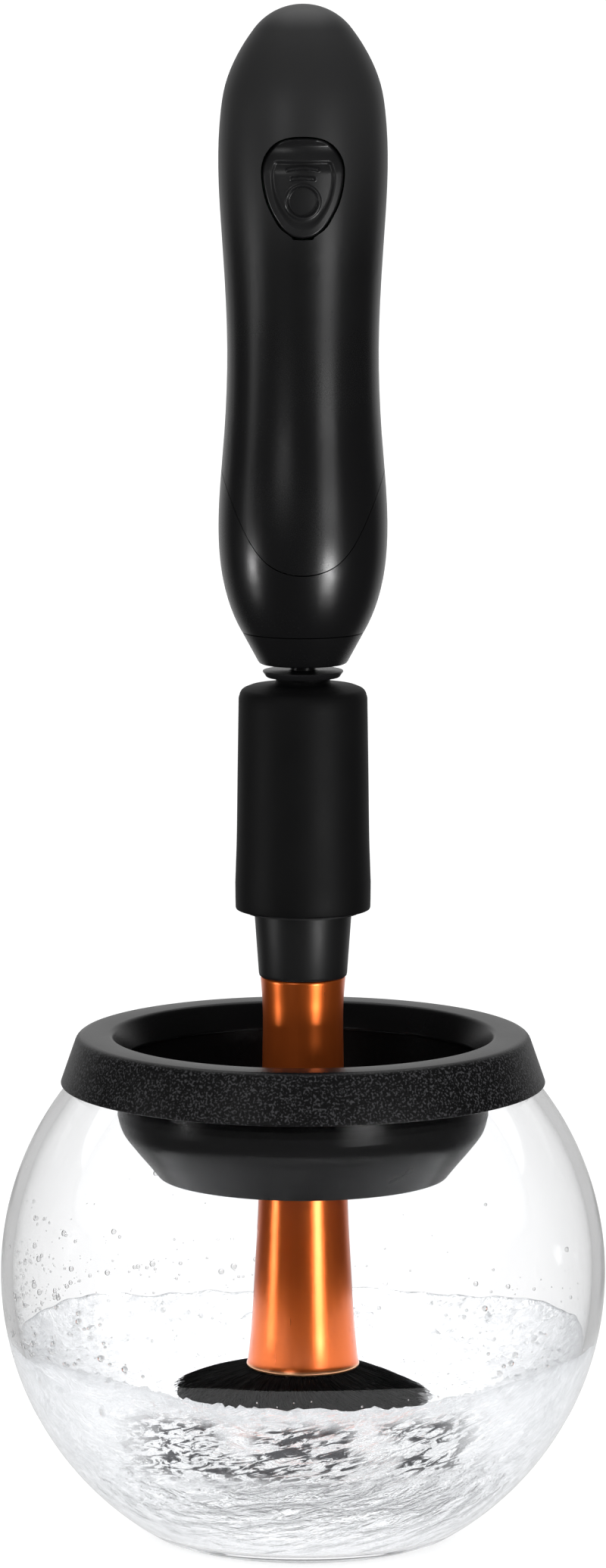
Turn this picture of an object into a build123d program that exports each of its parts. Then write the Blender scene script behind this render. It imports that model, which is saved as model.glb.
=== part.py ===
from build123d import *
import math
import os

os.makedirs("parts", exist_ok=True)

# Motorised make-up brush cleaner: a clear bowl with a splash ring, a battery handset that
# turns a rubber collar, and the brush that the collar holds in the bowl.
# Millimetres, +Z up, the power button faces -Y, origin in the middle of the bowl's foot.

# bowl
bowl_radius = 62.5
bowl_wall = 2.5
bowl_foot_radius = 30.0
bowl_floor = 3.0
bowl_rim_z = 100.2
bowl_centre_z = math.sqrt(bowl_radius**2 - bowl_foot_radius**2)

# splash ring
ring_top_z = 104.8
ring_skirt_z = 94.7
ring_top_radius = 46.5
ring_skirt_radius = 50.0
ring_mouth_radius = 39.4
ring_plate = 2.0
ring_skirt_wall = 1.5
funnel_spigot_radius = 38.1
funnel_spigot_z = 88.0
funnel_bottom_z = 75.5
funnel_bottom_radius = 29.4
funnel_hole_radius = 27.8
funnel_wall = 1.7
ring_rib_count = 12
ring_rib_width = 1.6

# brush
tuft_radius = 27.0
tuft_bottom_z = 22.4
ferrule_bottom_z = 35.4
ferrule_bottom_radius = 11.5
ferrule_waist_z = 107.0
ferrule_waist_radius = 8.27
ferrule_top_z = 116.9
ferrule_top_radius = 8.85
ferrule_wall = 0.8
handle_top_z = 157.0
handle_end_radius = 9.1
handle_grip_radius = 10.0
handle_grip_z = 130.2

# collar
collar_bottom_z = 130.85
collar_shoulder_z = 177.4
collar_neck_top_z = 178.93
collar_bottom_radius = 13.93
collar_top_radius = 13.2
collar_neck_radius = 5.55
collar_wall = 2.1
collar_socket_z = 169.0
liner_bore_radius = 10.35
liner_lip_z = 130.2
liner_lip_radius = 11.65
liner_rib_count = 12
liner_rib_radius = 10.13

# spindle and motor
flange_top_z = 180.27
flange_top_radius = 8.35
flange_bottom_radius = 7.6
spindle_radius = 2.6
spindle_top_z = 189.6
peg_bottom_z = 170.4
peg_across_flats = 6.0
peg_clearance = 0.08
motor_shaft_radius = 1.0
motor_radius = 10.0
motor_bottom_z = 194.0
motor_top_z = 219.4
motor_can_wall = 0.8

# handset
handset_top_z = 316.0
nose_bottom_z = 181.68
nose_bottom_radius = 9.1
nose_seam_z = 188.2
nose_seam_radius = 12.45
shell_wall = 2.0
seam_gap = 0.25
bulkhead_bottom_z = 191.0
bulkhead_top_z = 193.6
dome_radius = 12.39
dome_start = (10.2, 310.64)
handset_outline = [
    (nose_seam_radius, nose_seam_z),
    (15.9, 197.0),
    (17.25, 210.5),
    (16.12, 228.0),
    (15.44, 247.0),
    (16.42, 268.0),
    (17.2, 284.5),
    (16.72, 294.0),
    (14.75, 302.8),
    (12.74, 306.7),
    dome_start,
]

# button, switch and board
button_outline = [
    (0, 290.1),
    (3.0, 289.85),
    (5.3, 288.95),
    (7.1, 287.2),
    (8.15, 285.1),
    (8.45, 282.6),
    (8.1, 279.4),
    (7.2, 276.2),
    (5.9, 273.6),
    (4.1, 271.15),
    (2.2, 269.75),
    (0, 269.3),
]
button_dish_inset = 2.4
button_dish_depth = 1.0
button_dimple = (277.0, 6.2, 5.2)
button_gap = 0.35
button_depth = 3.0
button_travel = 1.0
board_front_y = -7.6
board_thickness = 1.2
switch_z = 279.5
switch_depth = 3.4

# batteries
cell_radius = 5.2
cell_length = 44.5
cell_x = 5.4
cell_y = 5.0
cell_bottom_z = 226.5
cover_half_width = 11.0
cover_bottom_z = 228.0
cover_top_z = 274.5
cover_gap = 0.3

# housing screws: x and z of each, driven in from the rear
screw_places = [(-12.7, 222.3), (12.7, 222.3), (0.0, 300.0)]
screw_head_y = 5.0
screw_radius = 0.95


def circle_radius_at(radius, centre_z, height):
    return math.sqrt(radius**2 - (height - centre_z) ** 2)


# The handset's outline set in by a wall, from the nose seam up to the crown.
def inset_points(inset):
    start_slope = (nose_seam_radius - nose_bottom_radius, nose_seam_z - nose_bottom_z)
    crown_z = handset_top_z - dome_radius
    with BuildLine() as outer:
        Spline(*handset_outline)
    curve = outer.edges()[0]
    points = []
    for step in range(len(handset_outline) * 2 - 1):
        share = step / (len(handset_outline) * 2 - 2)
        here = curve.position_at(share)
        along = curve.tangent_at(share)
        points.append((here.X - inset * along.Y, here.Y + inset * along.X))
    slope = math.hypot(*start_slope)
    foot = (nose_bottom_radius - inset * slope / start_slope[1], nose_bottom_z)
    crown = (0, handset_top_z - inset)
    half_turn = math.atan2(dome_start[0], dome_start[1] - crown_z) / 2
    crown_mid = (
        (dome_radius - inset) * math.sin(half_turn),
        crown_z + (dome_radius - inset) * math.cos(half_turn),
    )
    return points, foot, crown, crown_mid


# A solid of revolution of the handset's outside shape, or of that shape set in by a wall.
def handset_form(inset):
    points, foot, crown, crown_mid = inset_points(inset)
    with BuildPart() as form:
        with BuildSketch(Plane.XZ):
            with BuildLine():
                Spline(*points)
                ThreePointArc(points[-1], crown_mid, crown)
                Polyline(crown, (0, nose_bottom_z), foot, points[0])
            make_face()
        revolve(axis=Axis.Z)
    return form.part


# The same shape as a shell of one wall thickness, open at the nose.
def handset_shell(wall):
    points, foot, crown, crown_mid = inset_points(0.0)
    inner_points, inner_foot, inner_crown, inner_mid = inset_points(wall)
    with BuildPart() as form:
        with BuildSketch(Plane.XZ):
            with BuildLine():
                Spline(*points)
                ThreePointArc(points[-1], crown_mid, crown)
                Line(crown, inner_crown)
                ThreePointArc(inner_crown, inner_mid, inner_points[-1])
                Spline(*inner_points)
                Polyline(inner_points[0], inner_foot, foot, points[0])
            make_face()
        revolve(axis=Axis.Z)
    return form.part


# The front of the handset above its U-shaped lower seam, as a block to cut with.
def front_zone(gap):
    with BuildPart() as zone:
        with BuildSketch(Plane.XZ.offset(-gap)):
            with BuildLine():
                Spline(
                    (-22, 240 - gap),
                    (-17.0, 222.8 - gap),
                    (-12.5, 211.4 - gap),
                    (-6.7, 203.5 - gap),
                    (0, 201.6 - gap),
                    (6.7, 203.5 - gap),
                    (12.5, 211.4 - gap),
                    (17.0, 222.8 - gap),
                    (22, 240 - gap),
                )
                Polyline((22, 240 - gap), (22, 330), (-22, 330), (-22, 240 - gap))
            make_face()
        extrude(amount=30)
    return zone.part


# The button's outline: a full rounded shield, wide at the top and narrow at the bottom.
def button_block(grow, near, far):
    middle = (button_outline[0][1] + button_outline[-1][1]) / 2
    half_height = button_outline[0][1] - middle
    half_width = max(x for x, z in button_outline)
    wide = 1 + grow / half_width
    tall = 1 + grow / half_height
    points = [(x * wide, middle + (z - middle) * tall) for x, z in button_outline]
    with BuildPart() as block:
        with BuildSketch(Plane.XZ.offset(near)):
            with BuildLine():
                right = Spline(*points, tangents=[(1, 0), (-1, 0)])
                mirror(right, about=Plane.YZ)
            make_face()
        extrude(amount=far - near)
    return block.part


# The battery door's outline on the back of the handset.
def cover_block(shrink):
    with BuildPart() as block:
        with BuildSketch(Plane.XZ):
            with Locations((0, (cover_bottom_z + cover_top_z) / 2)):
                RectangleRounded(
                    2 * (cover_half_width - shrink),
                    cover_top_z - cover_bottom_z - 2 * shrink,
                    5.0 - shrink,
                )
        extrude(amount=-30)
    return block.part


outer_form = handset_form(0.0)
shell_form = handset_shell(shell_wall)

# ---- bowl
with BuildPart() as bowl:
    rim_outer = circle_radius_at(bowl_radius, bowl_centre_z, bowl_rim_z)
    rim_inner = circle_radius_at(bowl_radius - bowl_wall, bowl_centre_z, bowl_rim_z)
    floor_radius = circle_radius_at(bowl_radius - bowl_wall, bowl_centre_z, bowl_floor)
    with BuildSketch(Plane.XZ):
        with BuildLine():
            Line((0, 0), (bowl_foot_radius, 0))
            ThreePointArc((bowl_foot_radius, 0), (bowl_radius, bowl_centre_z), (rim_outer, bowl_rim_z))
            Line((rim_outer, bowl_rim_z), (rim_inner, bowl_rim_z))
            ThreePointArc(
                (rim_inner, bowl_rim_z),
                (bowl_radius - bowl_wall, bowl_centre_z),
                (floor_radius, bowl_floor),
            )
            Polyline((floor_radius, bowl_floor), (0, bowl_floor), (0, 0))
        make_face()
        fillet(vertices().group_by(Axis.Y)[-1], 1.2)
        fillet(vertices().group_by(Axis.Y)[0].sort_by(Axis.X)[-1], 1.5)
    revolve(axis=Axis.Z)
bowl.part.label = "bowl"
export_step(bowl.part, "parts/bowl.step")

# ---- splash ring: a channel that caps the bowl's rim, with a funnel that hangs inside it
with BuildPart() as splash_ring:
    plate_under_z = ring_top_z - ring_plate
    lean = (ring_skirt_radius - ring_top_radius) / (ring_top_z - ring_skirt_z)
    skirt_inner = ring_skirt_radius - ring_skirt_wall
    with BuildSketch(Plane.XZ):
        with BuildLine():
            Polyline(
                (36.6, 99.0),
                (ring_mouth_radius, ring_top_z),
                (ring_top_radius, ring_top_z),
                (ring_skirt_radius, ring_skirt_z),
                (skirt_inner, ring_skirt_z),
                (skirt_inner - lean * (plate_under_z - ring_skirt_z), plate_under_z),
                (ring_mouth_radius + 1.0, plate_under_z),
                (funnel_spigot_radius + 0.4, 99.0),
                (funnel_spigot_radius, funnel_spigot_z),
            )
            ThreePointArc(
                (funnel_spigot_radius, funnel_spigot_z),
                (34.6, 81.2),
                (funnel_bottom_radius, funnel_bottom_z),
            )
            Line((funnel_bottom_radius, funnel_bottom_z), (funnel_hole_radius, funnel_bottom_z))
            ThreePointArc(
                (funnel_hole_radius, funnel_bottom_z),
                (33.1, 82.1),
                (funnel_spigot_radius - funnel_wall, funnel_spigot_z + 0.4),
            )
            Line((funnel_spigot_radius - funnel_wall, funnel_spigot_z + 0.4), (36.6, 99.0))
        make_face()
        fillet(vertices().group_by(Axis.Y)[-1].sort_by(Axis.X)[-1], 1.2)
        fillet(vertices().group_by(Axis.Y)[-1].sort_by(Axis.X)[0], 0.7)
        fillet(vertices().group_by(Axis.Y)[0].sort_by(Axis.X)[0], 0.5)
    revolve(axis=Axis.Z)
    rib_inner = ring_mouth_radius - 0.4
    rib_outer = skirt_inner - lean * (bowl_rim_z - ring_skirt_z) + 0.3
    rib_top_z = plate_under_z + 0.2
    with PolarLocations((rib_inner + rib_outer) / 2, ring_rib_count):
        with Locations((0, 0, (bowl_rim_z + rib_top_z) / 2)):
            Box(rib_outer - rib_inner, ring_rib_width, rib_top_z - bowl_rim_z)
splash_ring.part.label = "splash_ring"
export_step(splash_ring.part, "parts/splash_ring.step")

# ---- brush: handle end, metal ferrule and the wet bristles fanned out by the spin
with BuildPart() as brush_handle:
    with BuildSketch(Plane.XZ):
        with BuildLine():
            Line((0, ferrule_top_z), (handle_end_radius - 0.6, ferrule_top_z))
            ThreePointArc(
                (handle_end_radius - 0.6, ferrule_top_z),
                (handle_end_radius - 0.17, ferrule_top_z + 0.2),
                (handle_end_radius, ferrule_top_z + 0.7),
            )
            Line((handle_end_radius, ferrule_top_z + 0.7), (handle_grip_radius, handle_grip_z))
            Spline(
                (handle_grip_radius, handle_grip_z),
                (9.6, 142.0),
                (7.0, 153.5),
                (0, handle_top_z),
                tangents=[(0.0, 1), (-1, 0)],
            )
            Line((0, handle_top_z), (0, ferrule_top_z))
        make_face()
    revolve(axis=Axis.Z)
    with Locations((0, 0, ferrule_top_z)):
        Cylinder(6.5, 10.0, align=(Align.CENTER, Align.CENTER, Align.MAX))
brush_handle.part.label = "brush_handle"
export_step(brush_handle.part, "parts/brush_handle.step")


def ferrule_solid(inset):
    with BuildPart() as form:
        with BuildSketch(Plane.XZ):
            with BuildLine():
                Spline(
                    (ferrule_bottom_radius - inset, ferrule_bottom_z),
                    (9.95 - inset, 55.6),
                    (8.9 - inset, 80.0),
                    (ferrule_waist_radius - inset, ferrule_waist_z),
                    (ferrule_top_radius - inset, ferrule_top_z),
                )
                Polyline(
                    (ferrule_top_radius - inset, ferrule_top_z),
                    (0, ferrule_top_z),
                    (0, ferrule_bottom_z),
                    (ferrule_bottom_radius - inset, ferrule_bottom_z),
                )
            make_face()
        revolve(axis=Axis.Z)
    return form.part


ferrule_outside = ferrule_solid(0.0)
ferrule_inside = ferrule_solid(ferrule_wall)

with BuildPart() as brush_ferrule:
    add(ferrule_outside)
    add(ferrule_inside, mode=Mode.SUBTRACT)
    with BuildSketch(Plane.XZ):
        with Locations((ferrule_bottom_radius - 0.35, ferrule_bottom_z + 0.1)):
            Circle(0.55)
    revolve(axis=Axis.Z)
brush_ferrule.part.label = "brush_ferrule"
export_step(brush_ferrule.part, "parts/brush_ferrule.step")

with BuildPart() as ferrule_core:
    add(ferrule_inside)
    with BuildSketch(Plane.XY.offset(ferrule_bottom_z - 1)):
        Circle(20)
    extrude(amount=7, mode=Mode.SUBTRACT)
    with BuildSketch(Plane.XY.offset(ferrule_top_z - 10.2)):
        Circle(20)
    extrude(amount=12, mode=Mode.SUBTRACT)
ferrule_core.part.label = "ferrule_core"
export_step(ferrule_core.part, "parts/ferrule_core.step")

with BuildPart() as bristle_tuft:
    root_radius = ferrule_bottom_radius - ferrule_wall - 0.45
    with BuildSketch(Plane.XZ):
        with BuildLine():
            Polyline((0, tuft_bottom_z), (0, ferrule_bottom_z + 5.8), (root_radius - 0.3, ferrule_bottom_z + 5.8))
            Line((root_radius - 0.3, ferrule_bottom_z + 5.8), (root_radius, ferrule_bottom_z - 0.6))
            Spline(
                (root_radius, ferrule_bottom_z - 0.6),
                (18.0, 33.0),
                (tuft_radius - 0.6, 30.6),
                (tuft_radius, 29.6),
                (24.0, 25.4),
                (12.0, 23.0),
                (0, tuft_bottom_z),
                tangents=[(0.6, -1), (-1, 0)],
            )
        make_face()
    revolve(axis=Axis.Z)
bristle_tuft.part.label = "bristle_tuft"
export_step(bristle_tuft.part, "parts/bristle_tuft.step")

# ---- collar: a stiff sleeve with a hexagonal drive socket, and a soft ribbed liner
with BuildPart() as collar_shell:
    with BuildSketch(Plane.XZ):
        with BuildLine():
            Polyline(
                (0, collar_neck_top_z),
                (collar_neck_radius, collar_neck_top_z),
                (collar_neck_radius, collar_shoulder_z + 0.25),
                (11.4, collar_shoulder_z - 0.5),
            )
            ThreePointArc((11.4, collar_shoulder_z - 0.5), (12.75, 176.2), (collar_top_radius, 174.6))
            Spline((collar_top_radius, 174.6), (13.6, 146.6), (collar_bottom_radius, 136.4))
            Polyline(
                (collar_bottom_radius, 136.4),
                (collar_bottom_radius - 0.05, collar_bottom_z + 0.3),
                (collar_bottom_radius - 0.3, collar_bottom_z),
                (collar_bottom_radius - collar_wall, collar_bottom_z),
                (collar_top_radius - collar_wall, collar_socket_z),
                (0, collar_socket_z),
                (0, collar_neck_top_z),
            )
        make_face()
    revolve(axis=Axis.Z)
    with BuildSketch(Plane.XY.offset(collar_socket_z)):
        RegularPolygon(peg_across_flats / 2 + peg_clearance, 6, major_radius=False)
    extrude(amount=collar_neck_top_z - collar_socket_z, mode=Mode.SUBTRACT)
collar_shell.part.label = "collar_shell"
export_step(collar_shell.part, "parts/collar_shell.step")

with BuildPart() as collar_liner:
    liner_top_z = collar_socket_z - 0.6
    with BuildSketch(Plane.XZ):
        with BuildLine():
            Polyline(
                (liner_bore_radius, liner_lip_z),
                (liner_lip_radius, liner_lip_z),
                (liner_lip_radius, collar_bottom_z + 0.6),
                (collar_bottom_radius - collar_wall - 0.2, collar_bottom_z + 0.8),
                (collar_top_radius - collar_wall - 0.05, liner_top_z),
                (liner_bore_radius, liner_top_z),
                close=True,
            )
        make_face()
    revolve(axis=Axis.Z)
    rib_length = liner_top_z - liner_lip_z - 2.0
    with PolarLocations((liner_bore_radius + liner_rib_radius) / 2 + 0.1, liner_rib_count):
        with Locations((0, 0, liner_lip_z + 1.0 + rib_length / 2)):
            Box(liner_bore_radius - liner_rib_radius + 0.2, 1.0, rib_length)
collar_liner.part.label = "collar_liner"
export_step(collar_liner.part, "parts/collar_liner.step")

# ---- spindle: shaft, flange disc and hexagonal peg in one moulding on the motor's shaft
with BuildPart() as spindle:
    with BuildSketch(Plane.XZ):
        with BuildLine():
            Polyline(
                (0, collar_neck_top_z),
                (flange_bottom_radius, collar_neck_top_z),
                (flange_top_radius, flange_top_z),
                (spindle_radius, flange_top_z),
                (spindle_radius, spindle_top_z),
                (0, spindle_top_z),
                close=True,
            )
        make_face()
    revolve(axis=Axis.Z)
    with BuildSketch(Plane.XY.offset(peg_bottom_z)):
        RegularPolygon(peg_across_flats / 2, 6, major_radius=False)
    extrude(amount=collar_neck_top_z - peg_bottom_z)
    chamfer(edges().group_by(Axis.Z)[0], 0.6)
    with BuildSketch(Plane.XY.offset(spindle_top_z)):
        Circle(motor_shaft_radius + 0.02)
    extrude(amount=-9.0, mode=Mode.SUBTRACT)
spindle.part.label = "spindle"
export_step(spindle.part, "parts/spindle.step")

# ---- motor
with BuildPart() as motor_shaft:
    with Locations((0, 0, spindle_top_z - 8.8)):
        Cylinder(motor_shaft_radius, 39.0, align=(Align.CENTER, Align.CENTER, Align.MIN))
motor_shaft.part.label = "motor_shaft"
export_step(motor_shaft.part, "parts/motor_shaft.step")

with BuildPart() as motor_can:
    with BuildSketch(Plane.XY.offset(motor_bottom_z)):
        Circle(motor_radius)
    extrude(amount=motor_top_z - 2.4 - motor_bottom_z)
    with BuildSketch(Plane.XY.offset(motor_bottom_z + motor_can_wall)):
        Circle(motor_radius - motor_can_wall)
    extrude(amount=40, mode=Mode.SUBTRACT)
    with BuildSketch(Plane.XY.offset(motor_bottom_z - 1.4)):
        Circle(3.4)
        Circle(2.4, mode=Mode.SUBTRACT)
    extrude(amount=1.4 + motor_can_wall)
    with BuildSketch(Plane.XY.offset(motor_bottom_z)):
        Circle(2.4)
    extrude(amount=motor_can_wall, mode=Mode.SUBTRACT)
motor_can.part.label = "motor_can"
export_step(motor_can.part, "parts/motor_can.step")

with BuildPart() as motor_end_cap:
    with BuildSketch(Plane.XY.offset(motor_top_z - 2.4)):
        Circle(motor_radius)
    extrude(amount=2.4)
    with BuildSketch(Plane.XY.offset(motor_top_z - 2.4)):
        Circle(2.4)
    extrude(amount=1.6, mode=Mode.SUBTRACT)
    with BuildSketch(Plane.XY.offset(motor_top_z - 2.4)):
        Circle(motor_shaft_radius + 0.2)
    extrude(amount=2.4, mode=Mode.SUBTRACT)
    for side in (-1, 1):
        with Locations((side * 5.0, 0, motor_top_z)):
            Box(0.5, 2.4, 1.6, align=(Align.CENTER, Align.CENTER, Align.MIN))
motor_end_cap.part.label = "motor_end_cap"
export_step(motor_end_cap.part, "parts/motor_end_cap.step")

with BuildPart() as motor_bushes:
    for low_z, height in ((motor_bottom_z - 1.3, 2.0), (motor_top_z - 2.3, 1.4)):
        with BuildSketch(Plane.XY.offset(low_z)):
            Circle(2.35)
            Circle(motor_shaft_radius + 0.05, mode=Mode.SUBTRACT)
        extrude(amount=height)
motor_bushes.part.label = "motor_bushes"
export_step(motor_bushes.part, "parts/motor_bushes.step")

with BuildPart() as motor_magnets:
    with BuildSketch(Plane.XY.offset(motor_bottom_z + 3.0)):
        Circle(motor_radius - motor_can_wall - 0.05)
        Circle(7.7, mode=Mode.SUBTRACT)
        Rectangle(7.0, 24.0, mode=Mode.SUBTRACT)
    extrude(amount=15.0)
motor_magnets.part.label = "motor_magnets"
export_step(motor_magnets.part, "parts/motor_magnets.step")

with BuildPart() as armature_core:
    with BuildSketch(Plane.XY.offset(motor_bottom_z + 5.0)):
        Circle(7.1)
        with PolarLocations(4.9, 3):
            SlotOverall(3.6, 3.2, rotation=90, mode=Mode.SUBTRACT)
        with PolarLocations(7.0, 3):
            Rectangle(2.4, 0.9, mode=Mode.SUBTRACT)
        Circle(motor_shaft_radius + 0.01, mode=Mode.SUBTRACT)
    extrude(amount=10.0)
armature_core.part.label = "armature_core"
export_step(armature_core.part, "parts/armature_core.step")

with BuildPart() as armature_windings:
    for low_z in (motor_bottom_z + 3.4, motor_bottom_z + 15.05):
        with BuildSketch(Plane.XY.offset(low_z)):
            with PolarLocations(4.1, 3, start_angle=60):
                SlotOverall(6.0, 3.4, rotation=90)
            Circle(1.9, mode=Mode.SUBTRACT)
        extrude(amount=1.55)
armature_windings.part.label = "armature_windings"
export_step(armature_windings.part, "parts/armature_windings.step")

with BuildPart() as commutator:
    with BuildSketch(Plane.XY.offset(motor_top_z - 7.0)):
        Circle(2.2)
        Circle(motor_shaft_radius + 0.01, mode=Mode.SUBTRACT)
    extrude(amount=4.2)
commutator.part.label = "commutator"
export_step(commutator.part, "parts/commutator.step")

with BuildPart() as motor_brushes:
    for side in (-1, 1):
        with Locations((side * 4.6, 0, motor_top_z - 4.8)):
            Box(4.5, 2.0, 1.8)
        with Locations((side * 6.6, 0, motor_top_z - 3.6)):
            Box(0.5, 2.0, 2.0)
motor_brushes.part.label = "motor_brushes"
export_step(motor_brushes.part, "parts/motor_brushes.step")

# A moulded ring that centres the motor between the shells.
with BuildPart() as motor_cradle:
    with BuildSketch(Plane.XY.offset(204.0)):
        Circle(14.4)
        Circle(motor_radius + 0.05, mode=Mode.SUBTRACT)
        with PolarLocations(13.4, 4, start_angle=45):
            Circle(2.0, mode=Mode.SUBTRACT)
    extrude(amount=4.0)
motor_cradle.part.label = "motor_cradle"
export_step(motor_cradle.part, "parts/motor_cradle.step")

# ---- handset shells
front_cutter = front_zone(0.0)
rear_cutter = front_zone(seam_gap)
button_hole = button_block(0.0, 8.0, 22.0)
cover_hole = cover_block(0.0)

with BuildPart() as front_shell:
    add(shell_form)
    add(front_cutter, mode=Mode.INTERSECT)
    for x, z in screw_places:
        with BuildSketch(Plane.XZ) as boss_sketch:
            with Locations((x, z)):
                Circle(2.2)
        extrude(amount=16)
    add(outer_form, mode=Mode.INTERSECT)
    for x, z in screw_places:
        with BuildSketch(Plane.XZ):
            with Locations((x, z)):
                Circle(screw_radius + 0.05)
        extrude(amount=8.2, mode=Mode.SUBTRACT)
    add(button_hole, mode=Mode.SUBTRACT)
front_shell.part.label = "front_shell"
export_step(front_shell.part, "parts/front_shell.step")

with BuildPart() as rear_shell:
    add(shell_form)
    with BuildSketch(Plane.XY.offset(bulkhead_bottom_z)):
        Circle(13.3)
        Circle(3.8, mode=Mode.SUBTRACT)
    extrude(amount=bulkhead_top_z - bulkhead_bottom_z)
    add(rear_cutter, mode=Mode.SUBTRACT)
    with BuildSketch(Plane.XY.offset(nose_bottom_z - 1)):
        Circle(25)
    extrude(amount=nose_seam_z + 0.15 - nose_bottom_z + 1, mode=Mode.SUBTRACT)
    for x, z in screw_places:
        with BuildSketch(Plane.XZ.offset(-seam_gap)):
            with Locations((x, z)):
                Circle(2.8)
        extrude(amount=-16)
    add(outer_form, mode=Mode.INTERSECT)
    for x, z in screw_places:
        with BuildSketch(Plane.XZ):
            with Locations((x, z)):
                Circle(screw_radius + 0.15)
        extrude(amount=-20, mode=Mode.SUBTRACT)
        with BuildSketch(Plane.XZ.offset(-screw_head_y)):
            with Locations((x, z)):
                Circle(2.0)
        extrude(amount=-20, mode=Mode.SUBTRACT)
    add(cover_hole, mode=Mode.SUBTRACT)
rear_shell.part.label = "rear_shell"
export_step(rear_shell.part, "parts/rear_shell.step")

with BuildPart() as battery_cover:
    add(shell_form)
    add(cover_block(cover_gap), mode=Mode.INTERSECT)
    for step in range(4):
        with BuildSketch(Plane.XZ.offset(-15.0)):
            with Locations((0, cover_bottom_z + 5.0 + 2.0 * step)):
                SlotOverall(9.0 - step, 0.9)
        extrude(amount=-1.3 + 0.1 * step)
battery_cover.part.label = "battery_cover"
export_step(battery_cover.part, "parts/battery_cover.step")

with BuildPart() as nose_cap:
    add(outer_form)
    with BuildSketch(Plane.XY.offset(nose_seam_z)):
        Circle(25)
    extrude(amount=handset_top_z, mode=Mode.SUBTRACT)
    fillet(edges().group_by(Axis.Z)[0], 0.7)
    with BuildSketch(Plane.XY.offset(nose_seam_z - 0.2)):
        Circle(9.9)
    extrude(amount=2.6)
    with BuildSketch(Plane.XY.offset(nose_bottom_z + 1.6)) as pocket:
        Circle(6.6)
    extrude(amount=20, taper=-12, mode=Mode.SUBTRACT)
    with BuildSketch(Plane.XY.offset(nose_bottom_z)):
        Circle(spindle_radius + 0.6)
    extrude(amount=4, mode=Mode.SUBTRACT)
nose_cap.part.label = "nose_cap"
export_step(nose_cap.part, "parts/nose_cap.step")

with BuildPart() as shaft_seal:
    with BuildSketch(Plane.XY.offset(nose_bottom_z + 1.6)):
        Circle(5.4)
        Circle(spindle_radius + 0.08, mode=Mode.SUBTRACT)
    extrude(amount=2.2)
shaft_seal.part.label = "shaft_seal"
export_step(shaft_seal.part, "parts/shaft_seal.step")

with BuildPart() as housing_screws:
    for x, z in screw_places:
        with BuildSketch(Plane.XZ.offset(-screw_head_y)):
            with Locations((x, z)):
                Circle(screw_radius)
        extrude(amount=screw_head_y + 7.0)
        with BuildSketch(Plane.XZ.offset(-screw_head_y)):
            with Locations((x, z)):
                Circle(1.85)
        extrude(amount=-1.3)
        with BuildSketch(Plane.XZ.offset(-screw_head_y - 1.3)):
            with Locations((x, z)):
                Rectangle(2.2, 0.45)
                Rectangle(0.45, 2.2)
        extrude(amount=0.8, mode=Mode.SUBTRACT)
housing_screws.part.label = "housing_screws"
export_step(housing_screws.part, "parts/housing_screws.step")

# ---- power button with its stem, dished face and grip ribs
with BuildPart() as dish_cut:
    add(handset_shell(button_dish_depth))
    add(button_block(-button_dish_inset, 8.0, 22.0), mode=Mode.INTERSECT)
button_dish = dish_cut.part

with BuildPart() as power_button:
    add(handset_shell(button_depth))
    add(button_block(-button_gap, 8.0, 22.0), mode=Mode.INTERSECT)
    with BuildSketch(Plane.XZ.offset(10.9)):
        with Locations((0, switch_z)):
            Circle(2.2)
    extrude(amount=4.2)
    with BuildSketch(Plane.YZ) as scoop:
        with BuildLine():
            Polyline((-17.6, 290.6), (-15.6, 288.0), (-17.2, 283.0), (-19, 283.0), (-19, 290.6), close=True)
        make_face()
    extrude(amount=12, both=True, mode=Mode.SUBTRACT)
    add(button_dish, mode=Mode.SUBTRACT)
    for z, half in ((283.8, 3.4), (281.7, 2.6)):
        with Locations((0, -15.9, z)):
            Box(2 * half, 0.9, 0.7)
    dimple_z, dimple_reach, dimple_radius = button_dimple
    with Locations((0, -15.4 - dimple_reach + 1.0, dimple_z)):
        Sphere(dimple_radius, mode=Mode.SUBTRACT)
power_button.part.label = "power_button"
export_step(power_button.part, "parts/power_button.step")

with BuildPart() as circuit_board:
    with BuildSketch(Plane.XZ.offset(-board_front_y - board_thickness)):
        with Locations((0, 279.5)):
            RectangleRounded(19.0, 31.0, 1.5)
        with Locations((-7.0, 291.0), (7.0, 268.0)):
            Circle(1.1, mode=Mode.SUBTRACT)
    extrude(amount=board_thickness)
    for x, z in ((-5.0, 289.0), (-1.0, 289.0), (5.5, 287.0)):
        with Locations((x, board_front_y - 0.5, z)):
            Box(2.4, 1.0, 1.4)
circuit_board.part.label = "circuit_board"
export_step(circuit_board.part, "parts/circuit_board.step")

with BuildPart() as switch_body:
    with BuildSketch(Plane.XZ.offset(-board_front_y)):
        with Locations((0, switch_z)):
            RectangleRounded(6.2, 6.2, 0.5)
    extrude(amount=switch_depth - 1.0)
    with BuildSketch(Plane.XZ.offset(-board_front_y + 0.5)):
        with Locations((0, switch_z)):
            Circle(1.9)
    extrude(amount=switch_depth, mode=Mode.SUBTRACT)
switch_body.part.label = "switch_body"
export_step(switch_body.part, "parts/switch_body.step")

with BuildPart() as switch_plunger:
    with BuildSketch(Plane.XZ.offset(-board_front_y + 1.6)):
        with Locations((0, switch_z)):
            Circle(1.7)
    extrude(amount=10.9 + board_front_y - 1.6)
switch_plunger.part.label = "switch_plunger"
export_step(switch_plunger.part, "parts/switch_plunger.step")

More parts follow.
